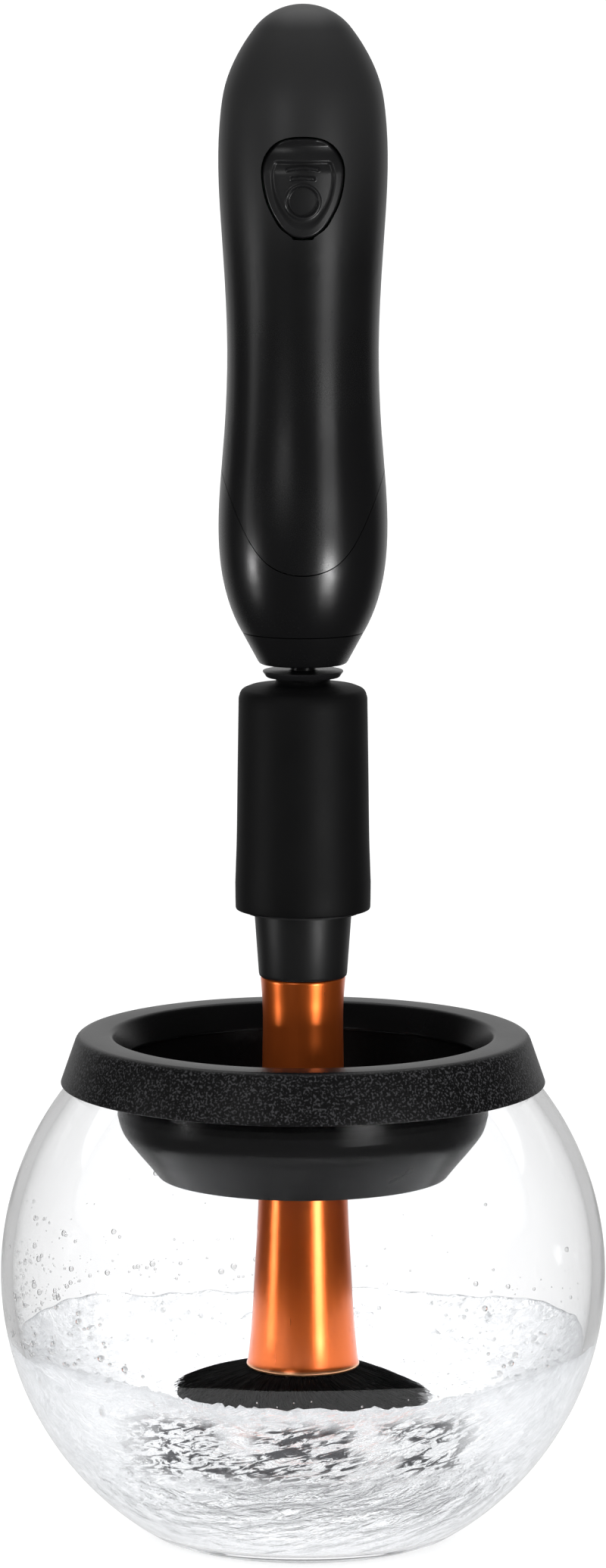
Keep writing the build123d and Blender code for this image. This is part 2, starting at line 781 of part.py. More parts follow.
# ---- batteries, their tray and contacts
for name, side, flip in (("cell_left", -1, 1), ("cell_right", 1, -1)):
    with BuildPart() as cell:
        body_low = cell_bottom_z if flip == 1 else cell_bottom_z + 1.0
        with Locations((side * cell_x, cell_y, body_low)):
            Cylinder(cell_radius, cell_length - 1.0, align=(Align.CENTER, Align.CENTER, Align.MIN))
        chamfer(edges().filter_by(GeomType.CIRCLE), 0.35)
        nub_low = cell_bottom_z + cell_length - 1.2 if flip == 1 else cell_bottom_z
        with Locations((side * cell_x, cell_y, nub_low)):
            Cylinder(1.9, 1.2, align=(Align.CENTER, Align.CENTER, Align.MIN))
    cell.part.label = name
    export_step(cell.part, f"parts/{name}.step")

tray_bottom_z = cell_bottom_z - 1.1
tray_top_z = cell_bottom_z + cell_length + 2.2
with BuildPart() as battery_tray:
    add(handset_form(shell_wall + 0.3))
    with Locations((0, 8.6, (tray_bottom_z + tray_top_z) / 2)):
        Box(40, 20.0, tray_top_z - tray_bottom_z, mode=Mode.INTERSECT)
    for side in (-1, 1):
        with Locations((side * cell_x, cell_y, cell_bottom_z - 0.7)):
            Cylinder(
                cell_radius + 0.15,
                cell_length + 1.5,
                align=(Align.CENTER, Align.CENTER, Align.MIN),
                mode=Mode.SUBTRACT,
            )
        with Locations((side * cell_x, cell_y, cell_bottom_z - 0.7)):
            Box(
                2 * cell_radius + 0.3,
                20,
                cell_length + 1.5,
                align=(Align.CENTER, Align.MIN, Align.MIN),
                mode=Mode.SUBTRACT,
            )
    with Locations((0, cell_y - 3.0, cell_bottom_z - 0.7)):
        Box(3.0, 20, cell_length + 1.5, align=(Align.CENTER, Align.MIN, Align.MIN), mode=Mode.SUBTRACT)
battery_tray.part.label = "battery_tray"
export_step(battery_tray.part, "parts/battery_tray.step")

with BuildPart() as contact_bridge:
    with BuildSketch(Plane.XY.offset(cell_bottom_z + cell_length + 0.15)):
        with Locations((0, cell_y + 0.5)):
            RectangleRounded(15.0, 5.0, 1.0)
    extrude(amount=0.4)
contact_bridge.part.label = "contact_bridge"
export_step(contact_bridge.part, "parts/contact_bridge.step")

with BuildPart() as contact_tabs:
    for side in (-1, 1):
        with BuildSketch(Plane.XY.offset(cell_bottom_z - 0.6)):
            with Locations((side * cell_x, cell_y + 0.5)):
                RectangleRounded(6.0, 5.0, 1.0)
        extrude(amount=0.4)
contact_tabs.part.label = "contact_tabs"
export_step(contact_tabs.part, "parts/contact_tabs.step")

lead_routes = [
    [(-5.0, -1.8, 220.6), (-5.0, -4.6, 221.0), (-5.5, -5.6, 234.0), (-6.5, -6.0, 250.0), (-6.5, -5.6, 263.4)],
    [(5.0, -1.8, 220.6), (5.0, -4.6, 221.0), (5.5, -5.6, 234.0), (6.5, -6.0, 250.0), (6.5, -5.6, 263.4)],
]
for side, route in zip((-1, 1), lead_routes):
    with BuildPart() as lead:
        with BuildLine() as path:
            FilletPolyline(*route, radius=[1.1, 20.0, 40.0])
        with BuildSketch(Plane(origin=path.line @ 0, z_dir=path.line % 0)):
            Circle(0.55)
        sweep()
    lead_name = "lead_left" if side < 0 else "lead_right"
    lead.part.label = lead_name
    export_step(lead.part, f"parts/{lead_name}.step")
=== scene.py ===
import bmesh
import bpy
import math
import random
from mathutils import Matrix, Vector, noise


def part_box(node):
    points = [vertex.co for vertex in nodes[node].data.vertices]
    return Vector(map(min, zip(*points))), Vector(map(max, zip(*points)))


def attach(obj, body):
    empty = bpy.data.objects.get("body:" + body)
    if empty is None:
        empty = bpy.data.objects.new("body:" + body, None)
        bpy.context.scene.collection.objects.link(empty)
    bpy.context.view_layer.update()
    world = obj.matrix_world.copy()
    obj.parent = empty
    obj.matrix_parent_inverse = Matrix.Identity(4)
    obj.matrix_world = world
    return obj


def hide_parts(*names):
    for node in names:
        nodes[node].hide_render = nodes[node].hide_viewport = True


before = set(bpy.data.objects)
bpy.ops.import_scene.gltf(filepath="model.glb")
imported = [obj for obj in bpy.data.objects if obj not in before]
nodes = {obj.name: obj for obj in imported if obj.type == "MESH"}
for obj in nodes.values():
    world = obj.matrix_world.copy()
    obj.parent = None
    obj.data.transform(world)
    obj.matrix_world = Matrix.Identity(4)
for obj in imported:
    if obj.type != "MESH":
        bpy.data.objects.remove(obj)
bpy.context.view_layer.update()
mm = 0.001  # the sizes below are in millimetres


class Sock:
    # wraps one output socket, so that shader maths reads as plain expressions
    def __init__(self, tree, out):
        self.tree = tree
        self.out = out

    def maths(self, operation, *values):
        made = self.tree.nodes.new("ShaderNodeMath")
        made.operation = operation
        for place, value in enumerate(values):
            if isinstance(value, Sock):
                self.tree.links.new(value.out, made.inputs[place])
            else:
                made.inputs[place].default_value = value
        return Sock(self.tree, made.outputs[0])

    def __add__(self, other):
        return self.maths("ADD", self, other)

    def __radd__(self, other):
        return self.maths("ADD", other, self)

    def __sub__(self, other):
        return self.maths("SUBTRACT", self, other)

    def __rsub__(self, other):
        return self.maths("SUBTRACT", other, self)

    def __mul__(self, other):
        return self.maths("MULTIPLY", self, other)

    def __rmul__(self, other):
        return self.maths("MULTIPLY", other, self)

    def __pow__(self, other):
        return self.maths("POWER", self, other)

    def step(self, low, high):
        # 0 below low, 1 above high, smooth between
        made = self.tree.nodes.new("ShaderNodeMapRange")
        made.interpolation_type = "SMOOTHSTEP"
        self.tree.links.new(self.out, made.inputs["Value"])
        made.inputs["From Min"].default_value = low
        made.inputs["From Max"].default_value = high
        return Sock(self.tree, made.outputs["Result"])


class Finish:
    # one material: a Principled shader and the nodes that feed it
    def __init__(self, name, **constants):
        self.material = bpy.data.materials.new(name)
        self.material.use_nodes = True
        self.tree = self.material.node_tree
        self.tree.nodes.clear()
        self.shader = self.tree.nodes.new("ShaderNodeBsdfPrincipled")
        self.output = self.tree.nodes.new("ShaderNodeOutputMaterial")
        self.tree.links.new(self.shader.outputs[0], self.output.inputs[0])
        for key, value in constants.items():
            self.shader.inputs[socketNames[key]].default_value = value

    def node(self, kind, settings=None, inputs=None, out=0):
        # settings are set first, then socket values and links
        made = self.tree.nodes.new(kind)
        for key, value in (settings or {}).items():
            setattr(made, key, value)
        for key, value in (inputs or {}).items():
            if isinstance(value, Sock):
                self.tree.links.new(value.out, made.inputs[key])
            else:
                made.inputs[key].default_value = value
        return Sock(self.tree, made.outputs[out])

    def where(self):
        # place on the object, in millimetres
        spot = self.node("ShaderNodeTexCoord", out="Object")
        return self.node("ShaderNodeVectorMath", {"operation": "SCALE"}, {0: spot, "Scale": 1 / mm})

    def axes(self, spot):
        split = self.node("ShaderNodeSeparateXYZ", None, {0: spot})
        made = split.out.node
        return [Sock(self.tree, made.outputs[place]) for place in range(3)]

    def noise(self, spot, scale, detail=3.0, rough=0.5, distortion=0.0):
        return self.node("ShaderNodeTexNoise", None, {
            "Vector": spot, "Scale": scale, "Detail": detail,
            "Roughness": rough, "Distortion": distortion})

    def stretched(self, spot, x, y, z):
        return self.node("ShaderNodeVectorMath", {"operation": "MULTIPLY"}, {0: spot, 1: (x, y, z)})

    def mix(self, factor, first, second):
        colours = {0: factor, 6: first, 7: second}
        return self.node("ShaderNodeMix", {"data_type": "RGBA"}, colours, out=2)

    def bump(self, height, strength, distance, below=None):
        links = {"Height": height, "Strength": strength, "Distance": distance}
        if below:
            links["Normal"] = below
        return self.node("ShaderNodeBump", None, links)

    def feed(self, **links):
        for key, value in links.items():
            self.tree.links.new(value.out, self.shader.inputs[socketNames[key]])
        return self.material


socketNames = {
    "colour": "Base Color", "rough": "Roughness", "metal": "Metallic", "normal": "Normal",
    "coat": "Coat Weight", "coatRough": "Coat Roughness", "specular": "Specular IOR Level",
    "ior": "IOR", "clear": "Transmission Weight", "glow": "Emission Color",
    "glowStrength": "Emission Strength",
}


def mouldedPlastic(name, colour, rough, grain, depth, mottle=0.25, **constants):
    # satin moulded plastic: fine spark grain, slow variation in gloss, faint handling marks
    finish = Finish(name, **constants)
    spot = finish.where()
    fine = finish.noise(spot, grain, 2.0, 0.6)
    slow = finish.noise(spot, 0.09, 3.0)
    marks = finish.noise(finish.stretched(spot, 1.0, 1.0, 0.25), 0.9, 4.0, 0.7).step(0.56, 0.72)
    light = tuple(c * (1 + mottle) + 0.0006 for c in colour) + (1,)
    dark = tuple(c * (1 - mottle) for c in colour) + (1,)
    tone = finish.mix(slow * 0.7 + fine * 0.3, dark, light)
    return finish.feed(
        colour=tone,
        rough=rough + (slow - 0.5) * 0.12 + (fine - 0.5) * 0.08 - marks * 0.04,
        normal=finish.bump(fine, depth, 0.02 * mm))


def lathe(name, outline, segments=192, closed=True):
    # turns an outline of (radius, height) points in millimetres about the upright axis;
    # a third item makes that row a hexagon with the radius to its flats
    shape = bmesh.new()
    rows = []
    for point in outline:
        radius, height = point[:2]
        if radius < 1e-6:
            rows.append([shape.verts.new((0, 0, height * mm))])
            continue
        ring = []
        for turn in range(segments):
            angle = 2 * math.pi * turn / segments
            reach = radius
            if len(point) > 2:
                reach = radius / math.cos(angle % (math.pi / 3) - math.pi / 6)
            ring.append(shape.verts.new((
                reach * mm * math.cos(angle), reach * mm * math.sin(angle), height * mm)))
        rows.append(ring)
    pairs = list(zip(rows, rows[1:]))
    if closed:
        pairs.append((rows[-1], rows[0]))
    for lower, upper in pairs:
        for turn in range(segments):
            after = (turn + 1) % segments
            if len(lower) == 1 and len(upper) == 1:
                break
            if len(lower) == 1:
                shape.faces.new((lower[0], upper[after], upper[turn]))
            elif len(upper) == 1:
                shape.faces.new((lower[turn], lower[after], upper[0]))
            else:
                shape.faces.new((lower[turn], lower[after], upper[after], upper[turn]))
    bmesh.ops.recalc_face_normals(shape, faces=shape.faces)
    return meshObject(name, shape)


def addBox(shape, middle, size, turned):
    # a box with its middle and size in millimetres, turned about the upright axis
    corners = []
    for x in (-0.5, 0.5):
        for y in (-0.5, 0.5):
            for z in (-0.5, 0.5):
                across = middle[0] + x * size[0]
                along = middle[1] + y * size[1]
                corners.append(shape.verts.new((
                    (across * math.cos(turned) - along * math.sin(turned)) * mm,
                    (across * math.sin(turned) + along * math.cos(turned)) * mm,
                    (middle[2] + z * size[2]) * mm)))
    for face in ((0, 1, 3, 2), (4, 6, 7, 5), (0, 4, 5, 1), (2, 3, 7, 6), (0, 2, 6, 4), (1, 5, 7, 3)):
        shape.faces.new([corners[corner] for corner in face])


def meshObject(name, shape, smooth=True):
    mesh = bpy.data.meshes.new(name)
    shape.to_mesh(mesh)
    shape.free()
    if smooth:
        mesh.shade_smooth()
    made = bpy.data.objects.new(name, mesh)
    bpy.context.scene.collection.objects.link(made)
    return made


def arc(centre, radius, start, end, steps):
    # points on a circle in the outline's plane, angles in degrees
    made = []
    for step in range(steps + 1):
        angle = math.radians(start + (end - start) * step / steps)
        made.append((centre[0] + radius * math.cos(angle), centre[1] + radius * math.sin(angle)))
    return made


def rounded(corners, steps=5):
    # an outline whose corners (x, y, radius) are rounded
    made = []
    count = len(corners)
    for place, (x, y, radius) in enumerate(corners):
        if radius <= 0:
            made.append((x, y))
            continue
        here = Vector((x, y))
        before = Vector(corners[place - 1][:2]) - here
        after = Vector(corners[(place + 1) % count][:2]) - here
        reach = min(radius, before.length * 0.49, after.length * 0.49)
        first = here + before.normalized() * reach
        last = here + after.normalized() * reach
        for step in range(steps + 1):
            t = step / steps
            point = first * (1 - t) ** 2 + here * 2 * t * (1 - t) + last * t ** 2
            made.append((point.x, point.y))
    return made


def throughPoints(points, steps=8):
    # a smooth curve through the points
    made = []
    for place in range(len(points) - 1):
        p0 = Vector(points[max(place - 1, 0)])
        p1 = Vector(points[place])
        p2 = Vector(points[place + 1])
        p3 = Vector(points[min(place + 2, len(points) - 1)])
        for step in range(steps):
            t = step / steps
            point = 0.5 * ((2 * p1) + (p2 - p0) * t + (2 * p0 - 5 * p1 + 4 * p2 - p3) * t ** 2
                           + (3 * p1 - p0 - 3 * p2 + p3) * t ** 3)
            made.append(tuple(point))
    made.append(tuple(points[-1]))
    return made


def smoothByAngle(obj, degrees=35):
    obj.data.set_sharp_from_angle(angle=math.radians(degrees))
    return obj


def wear(obj, material):
    obj.data.materials.clear()
    obj.data.materials.append(material)
    return obj


def place(obj, material, body, slot, *replaced):
    wear(obj, material)
    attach(obj, body)
    if replaced:
        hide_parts(*replaced)
    return obj


view = {"distance": 1500.0, "height": 371.0, "tilt": 8.13, "lens": 169.6, "film": 36.0}

camera = bpy.data.objects.new("camera", bpy.data.cameras.new("camera"))
camera.data.sensor_fit = "VERTICAL"
camera.data.sensor_height = view["film"]
camera.data.sensor_width = view["film"]
camera.data.lens = view["lens"]
camera.data.clip_start = 0.01
camera.data.clip_end = 50.0
camera.location = (0, -view["distance"] * mm, view["height"] * mm)
camera.rotation_euler = (math.radians(90 - view["tilt"]), 0, 0)
bpy.context.scene.collection.objects.link(camera)
bpy.context.scene.camera = camera
bpy.context.scene.view_settings.view_transform = "Standard"
print("camera ready")

# soft lamps around the object: angles in degrees from the front towards the right, lengths in metres;
# the near ones fill narrow bands of heights, because each piece mirrors its own band
lamps = {
    "handsetRight": {"around": 36, "far": 2.0, "up": 0.23, "width": 0.78, "height": 0.20, "watts": 1.8},
    "lowRight": {"around": 37, "far": 0.50, "up": -0.045, "width": 0.17, "height": 0.13, "watts": 0.28},
    "ferruleRight": {"around": 37, "far": 0.50, "up": 0.045, "width": 0.13, "height": 0.05, "watts": 0.72},
    "stripLeft": {"around": -75, "far": 0.60, "up": -0.045, "width": 0.14, "height": 0.13, "watts": 0.10},
    "ferruleLeft": {"around": -75, "far": 0.60, "up": 0.045, "width": 0.12, "height": 0.05, "watts": 0.42},
    "handsetLeft": {"around": -80, "far": 0.60, "up": 0.20, "width": 0.12, "height": 0.14, "watts": 0.04},
    "skirtLeft": {"around": -28, "far": 0.9, "up": 0.42, "width": 0.30, "height": 0.16, "watts": 0.46},
    "overhead": {"around": 180, "far": 0.5, "up": 1.5, "width": 1.2, "height": 1.2, "watts": 5.5},
}
aimHeight = 0.12


def hangLamp(name, spec):
    lamp = bpy.data.lights.new(name, "AREA")
    lamp.shape = "RECTANGLE"
    lamp.size = spec["width"]
    lamp.size_y = spec["height"]
    lamp.energy = spec["watts"]
    holder = bpy.data.objects.new(name, lamp)
    around = math.radians(spec["around"])
    holder.location = (spec["far"] * math.sin(around), -spec["far"] * math.cos(around), spec["up"])
    aim = Vector((0, 0, aimHeight)) - holder.location
    holder.rotation_euler = aim.to_track_quat("-Z", "Y").to_euler()
    bpy.context.scene.collection.objects.link(holder)
    return holder


for lampName, lampSpec in lamps.items():
    hangLamp(lampName, lampSpec)

# pale is what the eye sees; the rest is what gloss mirrors in front, behind, above and in the water
studio = {
    "pale": 1.14, "dim": 0.012, "rear": 0.60, "above": 0.10, "wetFront": 1.0, "wetDepth": 4.5,
    "rearFrom": (0.45, 0.95), "aboveFrom": (0.3, 0.95), "wetTurn": (-0.4, 0.4),
}


def paintWorld():
    # an even pale room; anything mirrored, also in the clear bowl, sees it only from behind and above
    world = bpy.data.worlds.new("studio")
    world.use_nodes = True
    bpy.context.scene.world = world
    tree = world.node_tree
    tree.nodes.clear()
    backdrop = tree.nodes.new("ShaderNodeBackground")
    backdrop.inputs["Color"].default_value = (1, 1, 1, 1)
    output = tree.nodes.new("ShaderNodeOutputWorld")
    path = tree.nodes.new("ShaderNodeLightPath")
    spot = tree.nodes.new("ShaderNodeTexCoord")
    split = tree.nodes.new("ShaderNodeSeparateXYZ")
    tree.links.new(spot.outputs["Generated"], split.inputs[0])
    glossyDepth = Sock(tree, path.outputs["Glossy Depth"])
    bounced = glossyDepth.maths("GREATER_THAN", glossyDepth, 0.5)
    depth = Sock(tree, path.outputs["Transmission Depth"])
    wet = depth.maths("GREATER_THAN", depth, studio["wetDepth"])
    mirrored = bounced * (1 - Sock(tree, path.outputs["Is Diffuse Ray"]))
    behind = Sock(tree, split.outputs[1]).step(*studio["rearFrom"])
    rearHalf = Sock(tree, split.outputs[1]).step(*studio["wetTurn"])
    above = Sock(tree, split.outputs[2]).step(*studio["aboveFrom"])
    glossy = studio["dim"] + behind * studio["rear"] + above * studio["above"]
    watery = studio["wetFront"] + rearHalf * (studio["pale"] - studio["wetFront"])
    bounce = wet * watery + (1 - wet) * glossy
    strength = mirrored * bounce + (1 - mirrored) * studio["pale"]
    tree.links.new(strength.out, backdrop.inputs["Strength"])
    tree.links.new(backdrop.outputs[0], output.inputs[0])


paintWorld()

floorSpec = {"radius": 0.12, "glow": 0.58}


def layFloor():
    # a small lit white table under the bowl
    shape = bmesh.new()
    bmesh.ops.create_circle(shape, cap_ends=True, segments=128, radius=floorSpec["radius"])
    floor = meshObject("floor", shape, smooth=False)
    finish = Finish("paleFloor", specular=0.1, glow=(1, 1, 1, 1), glowStrength=floorSpec["glow"])
    cloud = finish.noise(finish.where(), 0.004, 3.0)
    finish.feed(colour=finish.mix(cloud, (0.86, 0.865, 0.87, 1), (0.90, 0.90, 0.90, 1)),
                rough=0.6 + cloud * 0.2)
    wear(floor, finish.material)
    floor.visible_glossy = False


layFloor()
print("lights and floor ready")

bowlSpec = {"wall": 2.5, "floor": 3.0, "foot": 30.0, "recess": 0.7, "lipRise": 1.4}


def bowlCurve():
    # outer radius, height of its middle, inner radius and rim height
    low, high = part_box("bowl")
    radius = (high.x - low.x) / 2 / mm
    centre = math.sqrt(radius ** 2 - bowlSpec["foot"] ** 2)
    return radius, centre, radius - bowlSpec["wall"], high.z / mm


def buildBowl():
    radius, centre, inner, rim = bowlCurve()
    foot, thick, recess = bowlSpec["foot"], bowlSpec["floor"], bowlSpec["recess"]
    lipLow = rim - bowlSpec["lipRise"] - centre
    startOut = -math.degrees(math.asin(centre / radius)) + 2.2
    endOut = math.degrees(math.asin(lipLow / radius))
    startIn = -math.degrees(math.asin((centre - thick) / inner)) + 3.0
    endIn = math.degrees(math.asin(lipLow / inner))
    outside = arc((0, centre), radius, startOut, endOut, 72)
    inside = arc((0, centre), inner, endIn, startIn, 72)
    first, last = Vector(outside[-1]), Vector(inside[0])
    lip = []
    for step in range(1, 8):
        t = step / 8
        p = first * (1 - t) ** 3 + last * t ** 3
        p += Vector((first.x - 1.0, rim + 0.25)) * 3 * t * (1 - t) ** 2
        p += Vector((last.x + 0.4, rim + 0.25)) * 3 * t * t * (1 - t)
        lip.append((p.x, min(p.y, rim)))
    under = [(0.0, recess), (foot - 6.0, recess), (foot - 4.6, 0.25), (foot - 4.0, 0.0)]
    heel = [(foot - 1.4, 0.0), (foot - 0.3, 0.25)]
    edge = inside[-1][0]
    floorIn = [(edge - 1.6, thick + 0.35), (edge - 4.0, thick), (0.0, thick)]
    bowl = lathe("clearBowl", under + heel + outside + lip + inside + floorIn, 256, closed=False)
    finish = Finish("clearMoulding", clear=1.0, ior=1.42, specular=0.5, colour=(0.99, 0.992, 0.996, 1))
    spot = finish.where()
    slow = finish.noise(spot, 0.03, 2.0)
    smear = finish.noise(finish.stretched(spot, 1, 1, 0.3), 0.25, 4.0, 0.6).step(0.55, 0.8)
    finish.feed(rough=0.004 + smear * 0.02, normal=finish.bump(slow, 0.12, 1.0 * mm))
    return place(bowl, finish.material, "bowl", "clear_bowl", "bowl")


buildBowl()
print("bowl ready")

ringSpec = {
    "mouth": 39.4, "top": 46.5, "skirt": 50.0, "skirtFoot": 94.7, "skirtWall": 1.5, "plate": 2.0,
    "ribs": 12, "ribWide": 1.6, "ribIn": 39.0, "ribOut": 46.9,
    "funnelOut": [(38.1, 88.0), (37.1, 84.6), (34.6, 81.2), (32.1, 78.2)], "holeOut": 29.9,
    "funnelIn": [(30.2, 78.6), (33.1, 82.1), (35.6, 85.6), (36.4, 88.4)], "holeIn": 27.95,
}


def buildRing():
    # channel-section ring with a funnel inside and short ribs that rest on the bowl's rim
    spec = ringSpec
    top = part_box("splash_ring")[1].z / mm
    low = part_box("splash_ring")[0].z / mm
    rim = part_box("bowl")[1].z / mm
    foot = spec["skirtFoot"]
    inFoot = spec["skirt"] - spec["skirtWall"]
    lean = (spec["skirt"] - spec["top"]) / (top - foot)
    under = top - spec["plate"]
    outerFunnel = throughPoints(spec["funnelOut"] + [(spec["holeOut"], low)], 6)
    innerFunnel = throughPoints([(spec["holeIn"], low)] + spec["funnelIn"], 6)
    corners = [
        (36.6, 99.0, 1.5), (spec["mouth"], top, 0.8), (spec["top"], top, 1.5),
        (spec["skirt"], foot, 0.35), (inFoot, foot, 0.35),
        (inFoot - lean * (under - foot), under, 0.6), (spec["mouth"] + 1.0, under, 0.5),
        (38.5, 99.0, 1.0),
    ]
    shell = rounded(corners)
    ring = lathe("splashRing", shell + outerFunnel + innerFunnel, 288)
    shape = bmesh.new()
    shape.from_mesh(ring.data)
    for turn in range(spec["ribs"]):
        angle = 2 * math.pi * turn / spec["ribs"]
        addBox(shape, ((spec["ribIn"] + spec["ribOut"]) / 2, 0, (rim + under) / 2 + 0.1),
               (spec["ribOut"] - spec["ribIn"], spec["ribWide"], under - rim + 0.2), angle)
    shape.to_mesh(ring.data)
    shape.free()
    smoothByAngle(ring, 40)
    finish = Finish("ringPlastic", specular=0.20)
    spot = finish.where()
    fine = finish.noise(spot, 1.5, 2.0, 0.7)
    slow = finish.noise(spot, 0.06, 3.0)
    x, y, z = finish.axes(spot)
    skirt = ((x * x + y * y) ** 0.5).step(45.6, 46.6)
    cloud = slow * 0.6 + fine * 0.4
    plain = finish.mix(cloud, (0.0012, 0.0012, 0.0013, 1), (0.0030, 0.0030, 0.0033, 1))
    # painted glints: lighter specks in the skirt's colour stand in for light sparkling off its grain
    paintedGlints = finish.noise(spot, 2.2, 1.0, 0.5).step(0.50, 0.66)
    tone = finish.mix(paintedGlints * skirt, plain, (0.030, 0.030, 0.032, 1))
    finish.feed(
        colour=tone,
        rough=0.40 - (1 - skirt) * 0.14 + (slow - 0.5) * 0.08,
        normal=finish.bump(fine, 0.25 + skirt * 0.55, 0.09 * mm))
    return place(ring, finish.material, "splash_ring", "ring_plastic", "splash_ring")


buildRing()
print("splash ring ready")

collarSpec = {
    "flats": 6.16, "wall": 2.1, "socket": 169.0,
    "side": [(13.2, 174.6), (13.42, 160.0), (13.6, 146.6), (13.8, 140.0), (13.93, 136.4)],
}


def buildCollar():
    # sleeve with a shoulder, a short neck and a hexagonal drive socket
    low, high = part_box("collar_shell")
    foot, top = low.z / mm, high.z / mm
    wall, socket = collarSpec["wall"], collarSpec["socket"]
    side = throughPoints(collarSpec["side"], 6)
    outline = [(5.2, top), (5.45, top - 0.08), (5.55, top - 0.35), (5.56, top - 0.95),
               (5.85, top - 1.35), (6.4, top - 1.52), (11.0, 176.98)]
    outline += rounded([(11.4, 176.9, 0.4), (12.75, 176.2, 1.2), (13.2, 174.6, 0.2)], 5)[6:12]
    outline += side
    outline += [(13.9, 133.0), (13.86, foot + 0.45), (13.74, foot + 0.15), (13.5, foot + 0.02),
                (12.1, foot), (13.93 - wall, foot + 0.2), (13.2 - wall, socket),
                (collarSpec["flats"] / 2, socket, "hex"), (collarSpec["flats"] / 2, top - 0.3, "hex"),
                (collarSpec["flats"] / 2 + 0.3, top, "hex")]
    collar = smoothByAngle(lathe("collarSleeve", outline, 192), 40)
    black = (0.0024, 0.0024, 0.0026)
    material = mouldedPlastic("collarBlack", black, 0.55, 2.2, 0.22, specular=0.15)
    return place(collar, material, "collar", "collar_black", "collar_shell")


buildCollar()

spindleSpec = {
    "shaft": 2.6, "flats": 6.0, "peg": 170.4, "bore": 1.02, "boreFoot": 180.6,
    "disc": 178.93, "discTop": 180.27,
}


def buildSpindle():
    # shaft, flange disc and hexagonal peg in one moulding
    spec = spindleSpec
    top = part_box("spindle")[1].z / mm
    disc, discTop = spec["disc"], spec["discTop"]
    outline = [
        (0.0, spec["peg"]), (spec["flats"] / 2 - 0.6, spec["peg"], "hex"),
        (spec["flats"] / 2, spec["peg"] + 0.6, "hex"), (spec["flats"] / 2, disc, "hex"),
        (7.4, disc), (7.58, disc + 0.12), (8.27, discTop - 0.22), (8.2, discTop - 0.04), (8.0, discTop),
        (3.1, discTop), (2.72, discTop + 0.12), (spec["shaft"], discTop + 0.45),
        (spec["shaft"], top - 0.2), (spec["shaft"] - 0.2, top), (spec["bore"], top),
        (spec["bore"], spec["boreFoot"]), (0.0, spec["boreFoot"]),
    ]
    spindle = smoothByAngle(lathe("driveSpindle", outline, 192, closed=False), 40)
    black = (0.007, 0.007, 0.0075)
    material = mouldedPlastic("spindleBlack", black, 0.3, 2.0, 0.15, specular=0.55)
    return place(spindle, material, "spindle", "spindle_plastic", "spindle")


buildSpindle()


noseSeam = 188.2  # height of the joint between the nose and the shells


def buildNose():
    # truncated cone under the shells, with a spigot that goes up into them
    low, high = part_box("nose_cap")
    foot, top, seam = low.z / mm, high.z / mm, noseSeam
    outline = [
        (3.2, foot), (8.2, foot), (8.62, foot + 0.05), (8.95, foot + 0.22), (9.2, foot + 0.55),
        (12.25, seam - 0.35), (12.36, seam - 0.1), (12.3, seam - 0.02), (12.1, seam),
        (9.9, seam), (9.9, top), (8.15, top), (6.6, foot + 1.6), (3.2, foot + 1.6),
    ]
    nose = smoothByAngle(lathe("noseCone", outline, 192), 40)
    return place(nose, handsetBlack("noseBlack"), "handset", "handset_soft_black", "nose_cap")


def handsetBlack(name):
    # soft satin black with a very fine grain and slow drifts in its gloss; its top is painted lighter, a
    # painted sheen of light from above
    finish = Finish(name, specular=0.62)
    spot = finish.where()
    fine = finish.noise(spot, 3.0, 2.0, 0.6)
    slow = finish.noise(spot, 0.05, 3.0)
    rubbed = finish.noise(finish.stretched(spot, 1.0, 1.0, 0.2), 0.5, 4.0, 0.65).step(0.55, 0.8)
    x, y, z = finish.axes(spot)
    crown = z.step(240.0, 306.0)
    cloud = slow * 0.7 + fine * 0.3
    plain = finish.mix(cloud, (0.0018, 0.0018, 0.0020, 1), (0.0036, 0.0036, 0.0039, 1))
    # painted light: the upper part is painted a lighter grey, standing in for the soft light that falls on
    # the crown
    paintedCrownLight = z.step(262.0, 302.0) * (0.8 + fine * 0.4)
    tone = finish.mix(paintedCrownLight, plain, (0.0125, 0.0125, 0.013, 1))
    finish.feed(
        colour=tone,
        rough=0.265 + crown * 0.2 + (slow - 0.5) * 0.07 + (fine - 0.5) * 0.05 - rubbed * 0.02,
        normal=finish.bump(fine, 0.10, 0.02 * mm))
    return finish.material


buildNose()
print("collar, spindle and nose ready")


handleSpec = {
    "end": 116.9, "tang": 6.5,
    "side": [(10.0, 130.2), (9.95, 136.0), (9.6, 142.0), (8.7, 148.5), (7.0, 153.5), (4.0, 156.2)],
}


def buildHandle():
    # black end of the brush, with a tang down inside the ferrule
    low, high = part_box("brush_handle")
    foot, top = low.z / mm, high.z / mm
    end, tang = handleSpec["end"], handleSpec["tang"]
    side = throughPoints(handleSpec["side"] + [(0.0, top)], 6)
    outline = [(0.0, foot), (tang, foot), (tang, end), (8.4, end), (8.75, end + 0.05),
               (8.98, end + 0.24), (9.1, end + 0.7)] + side
    handle = smoothByAngle(lathe("brushHandle", outline, 192, closed=False), 40)
    black = (0.006, 0.006, 0.0063)
    material = mouldedPlastic("handleLacquer", black, 0.42, 1.6, 0.1, specular=0.32)
    return place(handle, material, "brush", "handle_black", "brush_handle")


ferruleSpec = {
    "wall": 0.8, "bead": 0.55, "beadAt": (11.12, 35.52),
    "curve": [(11.5, 35.4), (10.65, 44.0), (9.95, 55.6), (9.36, 67.0), (8.9, 80.0), (8.55, 92.0),
              (8.27, 106.0), (8.36, 111.5), (8.72, 116.6)],
}


